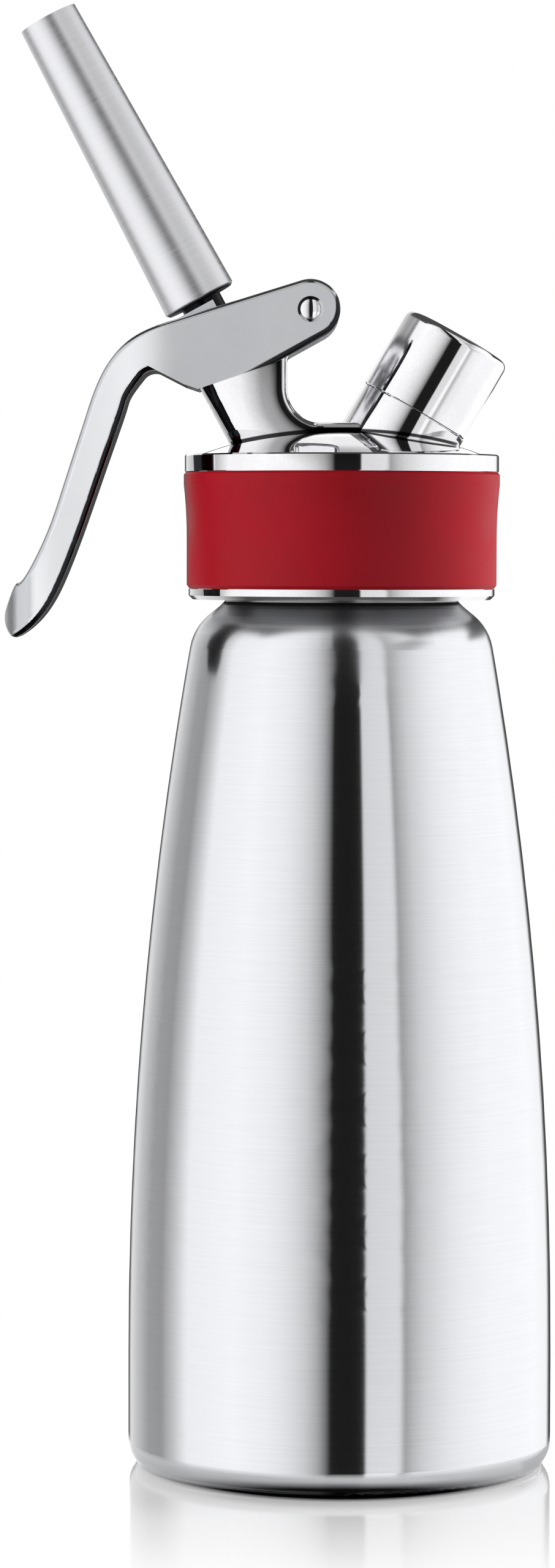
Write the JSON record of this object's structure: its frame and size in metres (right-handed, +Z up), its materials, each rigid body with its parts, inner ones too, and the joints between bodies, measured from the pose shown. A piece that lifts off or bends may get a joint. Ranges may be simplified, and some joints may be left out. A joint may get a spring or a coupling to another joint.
{
  "type": "whipped cream dispenser",
  "caption": "Whipped cream dispenser: tapered brushed steel bottle, polished screw-on head with a hinged lever, a leaning decorator tip and a capped charger port.",
  "frame": {"origin": "centre of the bottle's contact ring, on the surface it stands on", "axes": "+Z up along the bottle's axis, -X towards the handle and the decorator tip, +X towards the charger port"},
  "size_m": [0.1098, 0.085, 0.292],
  "materials": {
    "bottle_steel": "brushed round the bottle",
    "tip_steel": "turned, with fine rings",
    "satin_steel": "satin, bead blasted",
    "polished_steel": "mirror polished",
    "turned_steel": "turned",
    "red_silicone": "matte moulded",
    "black_rubber": "matte moulded",
    "white_plastic": "turned"
  },
  "bodies": {
    "bottle_body": {"bottle": "bottle_steel"},
    "head_body": {"head_casting": "polished_steel", "grip_band": "red_silicone", "head_gasket": "red_silicone", "lever_pivot_pin": "polished_steel", "spring_washer": "turned_steel", "stem_guide_bush": "white_plastic", "charger_seal": "black_rubber", "non_return_sleeve": "black_rubber", "piercing_insert": "turned_steel", "piercing_pin": "turned_steel"},
    "lever_body": {"lever": "satin_steel"},
    "valve_body": {"valve_stem": "turned_steel", "press_collar": "turned_steel", "stem_o_ring": "black_rubber", "valve_poppet": "turned_steel", "poppet_seal": "black_rubber", "poppet_nut": "turned_steel", "valve_spring": "turned_steel"},
    "tip_body": {"decorator_tip": "tip_steel", "tip_seal": "black_rubber"},
    "cap_body": {"port_cap": "polished_steel", "cap_liner": "black_rubber"}
  },
  "joints": [
    {"name": "head_lift", "type": "slide", "parent": "bottle_body", "child": "head_body", "axis": [0, 0, 1], "range_m": [0, 0.04]},
    {"name": "lever_squeeze", "type": "hinge", "parent": "head_body", "child": "lever_body", "pos_m": [-0.0064, 0, 0.231], "axis": [0, -1, 0], "range_deg": [0, 12]},
    {"name": "stem_press", "type": "slide", "parent": "head_body", "child": "valve_body", "axis": [0.4772, 0, -0.8788], "range_m": [0, 0.0039], "stiffness_N_per_m": 1500, "springref_m": -0.0047, "deforming": ["valve_spring"]},
    {"name": "tip_unscrew", "type": "slide", "parent": "valve_body", "child": "tip_body", "axis": [-0.4772, 0, 0.8788], "range_m": [0, 0.015]},
    {"name": "cap_unscrew", "type": "slide", "parent": "head_body", "child": "cap_body", "axis": [0.5, 0, 0.866], "range_m": [0, 0.02]}
  ],
  "couplings": [
    {"joint": "stem_press", "follows": "lever_squeeze", "m_per_rad": 0.0185}
  ]
}
